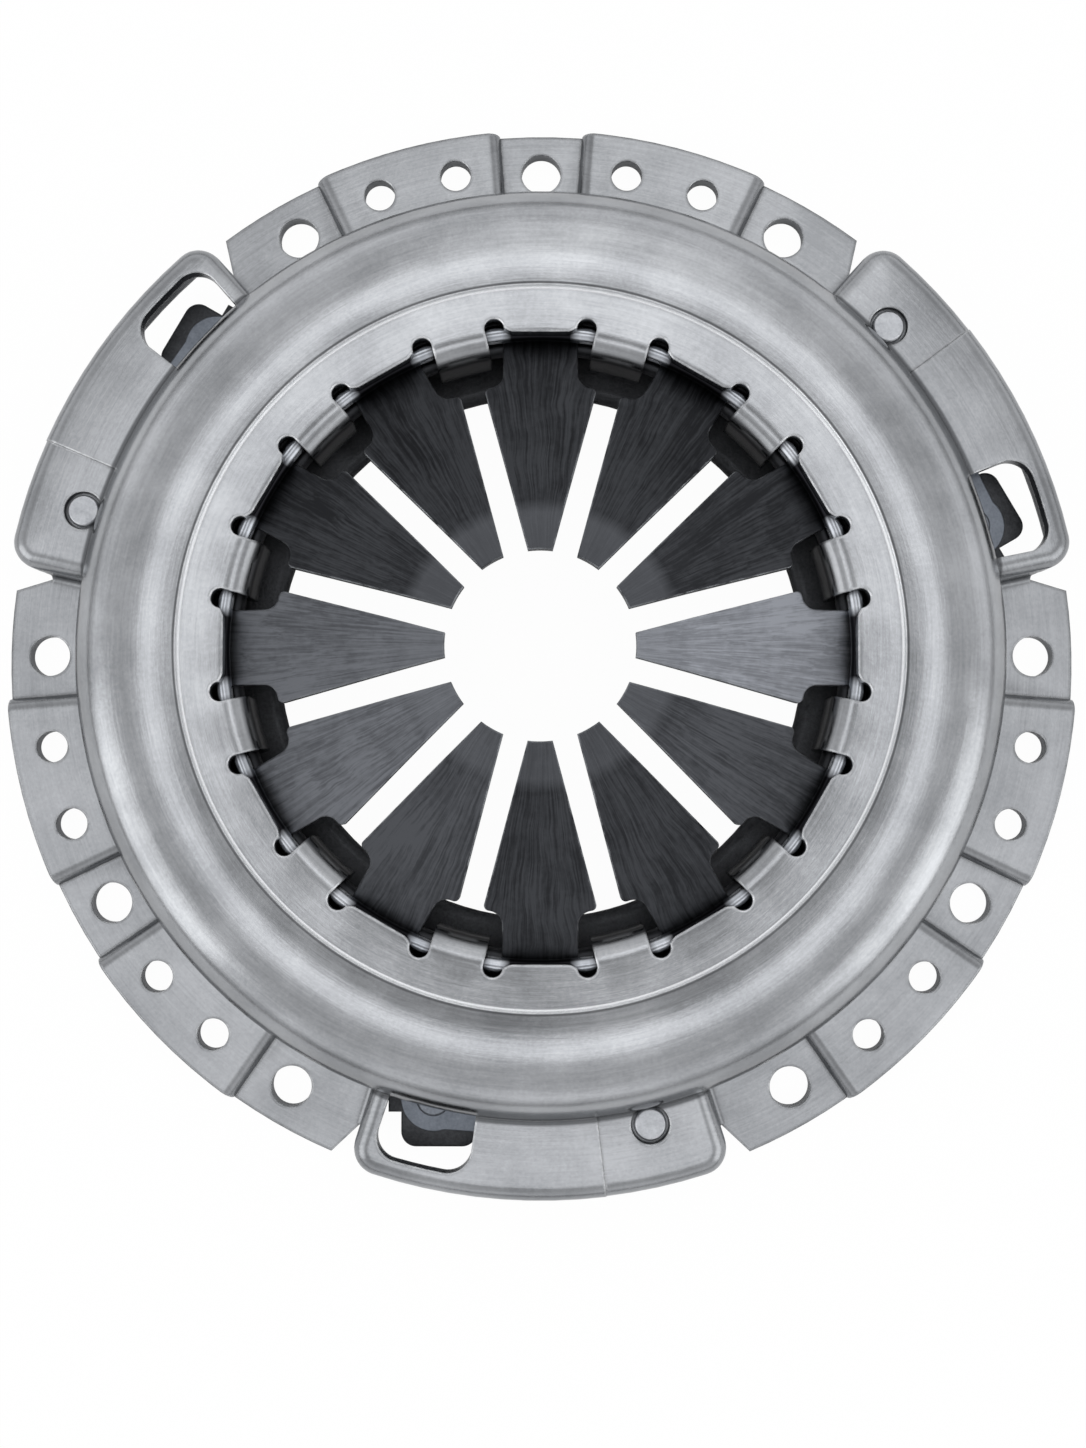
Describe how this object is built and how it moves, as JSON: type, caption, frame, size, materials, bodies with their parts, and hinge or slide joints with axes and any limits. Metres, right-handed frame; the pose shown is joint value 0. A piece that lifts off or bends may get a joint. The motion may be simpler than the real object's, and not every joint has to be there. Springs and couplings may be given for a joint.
{
  "type": "clutch pressure plate",
  "caption": "Diaphragm-spring clutch pressure plate with stamped cover, bent-tab fulcrum and strap-driven cast ring, shown in the free state.",
  "frame": {"origin": "on the clutch axis, in the plane of the cover's bolt pads, which is the flywheel's face", "axes": "+Z along the clutch axis from the flywheel to the gearbox, +Y through the middle of a bolt pad"},
  "size_m": [0.2546, 0.2523, 0.0309],
  "materials": {
    "cover_steel": "satin stamped steel",
    "wire": "drawn wire",
    "spring_steel": "dark tempered steel",
    "cast": "machined and cast",
    "strap": "blued strip",
    "rivet_bright": "bright headed",
    "rivet_dark": "headed"
  },
  "bodies": {
    "cover": {"cover": "cover_steel", "fulcrum_ring_upper": "wire", "fulcrum_ring_lower": "wire", "cover_rivets": "rivet_bright", "strap_a_leaf_1": "strap", "strap_a_leaf_2": "strap", "strap_a_leaf_3": "strap", "strap_b_leaf_1": "strap", "strap_b_leaf_2": "strap", "strap_b_leaf_3": "strap", "strap_c_leaf_1": "strap", "strap_c_leaf_2": "strap", "strap_c_leaf_3": "strap"},
    "pressure_plate": {"pressure_plate": "cast", "plate_rivets": "rivet_dark"},
    "diaphragm_finger_01": {"diaphragm_finger_01": "spring_steel"},
    "diaphragm_finger_02": {"diaphragm_finger_02": "spring_steel"},
    "diaphragm_finger_03": {"diaphragm_finger_03": "spring_steel"},
    "diaphragm_finger_04": {"diaphragm_finger_04": "spring_steel"},
    "diaphragm_finger_05": {"diaphragm_finger_05": "spring_steel"},
    "diaphragm_finger_06": {"diaphragm_finger_06": "spring_steel"},
    "diaphragm_finger_07": {"diaphragm_finger_07": "spring_steel"},
    "diaphragm_finger_08": {"diaphragm_finger_08": "spring_steel"},
    "diaphragm_finger_09": {"diaphragm_finger_09": "spring_steel"},
    "diaphragm_finger_10": {"diaphragm_finger_10": "spring_steel"},
    "diaphragm_finger_11": {"diaphragm_finger_11": "spring_steel"},
    "diaphragm_finger_12": {"diaphragm_finger_12": "spring_steel"}
  },
  "joints": [
    {"name": "plate_slide", "type": "slide", "parent": "cover", "child": "pressure_plate", "axis": [0, 0, 1], "range_m": [0, 0.0045], "stiffness_N_per_m": 50000, "springref_m": -0.004, "deforming": ["strap_a_leaf_1", "strap_a_leaf_2", "strap_a_leaf_3", "strap_b_leaf_1", "strap_b_leaf_2", "strap_b_leaf_3", "strap_c_leaf_1", "strap_c_leaf_2", "strap_c_leaf_3"]},
    {"name": "finger_01_tilt", "type": "hinge", "parent": "cover", "child": "diaphragm_finger_01", "pos_m": [0.0707, 0, 0.0211], "axis": [0, -1, 0], "range_deg": [0, 11.8]},
    {"name": "finger_02_tilt", "type": "hinge", "parent": "cover", "child": "diaphragm_finger_02", "pos_m": [0.06123, 0.03535, 0.0211], "axis": [0.5, -0.866, 0], "range_deg": [0, 11.8]},
    {"name": "finger_03_tilt", "type": "hinge", "parent": "cover", "child": "diaphragm_finger_03", "pos_m": [0.03535, 0.06123, 0.0211], "axis": [0.866, -0.5, 0], "range_deg": [0, 11.8]},
    {"name": "finger_04_tilt", "type": "hinge", "parent": "cover", "child": "diaphragm_finger_04", "pos_m": [0, 0.0707, 0.0211], "axis": [1, 0, 0], "range_deg": [0, 11.8]},
    {"name": "finger_05_tilt", "type": "hinge", "parent": "cover", "child": "diaphragm_finger_05", "pos_m": [-0.03535, 0.06123, 0.0211], "axis": [0.866, 0.5, 0], "range_deg": [0, 11.8]},
    {"name": "finger_06_tilt", "type": "hinge", "parent": "cover", "child": "diaphragm_finger_06", "pos_m": [-0.06123, 0.03535, 0.0211], "axis": [0.5, 0.866, 0], "range_deg": [0, 11.8]},
    {"name": "finger_07_tilt", "type": "hinge", "parent": "cover", "child": "diaphragm_finger_07", "pos_m": [-0.0707, 0, 0.0211], "axis": [0, 1, 0], "range_deg": [0, 11.8]},
    {"name": "finger_08_tilt", "type": "hinge", "parent": "cover", "child": "diaphragm_finger_08", "pos_m": [-0.06123, -0.03535, 0.0211], "axis": [-0.5, 0.866, 0], "range_deg": [0, 11.8]},
    {"name": "finger_09_tilt", "type": "hinge", "parent": "cover", "child": "diaphragm_finger_09", "pos_m": [-0.03535, -0.06123, 0.0211], "axis": [-0.866, 0.5, 0], "range_deg": [0, 11.8]},
    {"name": "finger_10_tilt", "type": "hinge", "parent": "cover", "child": "diaphragm_finger_10", "pos_m": [0, -0.0707, 0.0211], "axis": [-1, 0, 0], "range_deg": [0, 11.8]},
    {"name": "finger_11_tilt", "type": "hinge", "parent": "cover", "child": "diaphragm_finger_11", "pos_m": [0.03535, -0.06123, 0.0211], "axis": [-0.866, -0.5, 0], "range_deg": [0, 11.8]},
    {"name": "finger_12_tilt", "type": "hinge", "parent": "cover", "child": "diaphragm_finger_12", "pos_m": [0.06123, -0.03535, 0.0211], "axis": [-0.5, -0.866, 0], "range_deg": [0, 11.8]}
  ],
  "couplings": [
    {"joint": "finger_01_tilt", "follows": "plate_slide", "rad_per_m": 45},
    {"joint": "finger_02_tilt", "follows": "plate_slide", "rad_per_m": 45},
    {"joint": "finger_03_tilt", "follows": "plate_slide", "rad_per_m": 45},
    {"joint": "finger_04_tilt", "follows": "plate_slide", "rad_per_m": 45},
    {"joint": "finger_05_tilt", "follows": "plate_slide", "rad_per_m": 45},
    {"joint": "finger_06_tilt", "follows": "plate_slide", "rad_per_m": 45},
    {"joint": "finger_07_tilt", "follows": "plate_slide", "rad_per_m": 45},
    {"joint": "finger_08_tilt", "follows": "plate_slide", "rad_per_m": 45},
    {"joint": "finger_09_tilt", "follows": "plate_slide", "rad_per_m": 45},
    {"joint": "finger_10_tilt", "follows": "plate_slide", "rad_per_m": 45},
    {"joint": "finger_11_tilt", "follows": "plate_slide", "rad_per_m": 45},
    {"joint": "finger_12_tilt", "follows": "plate_slide", "rad_per_m": 45}
  ]
}
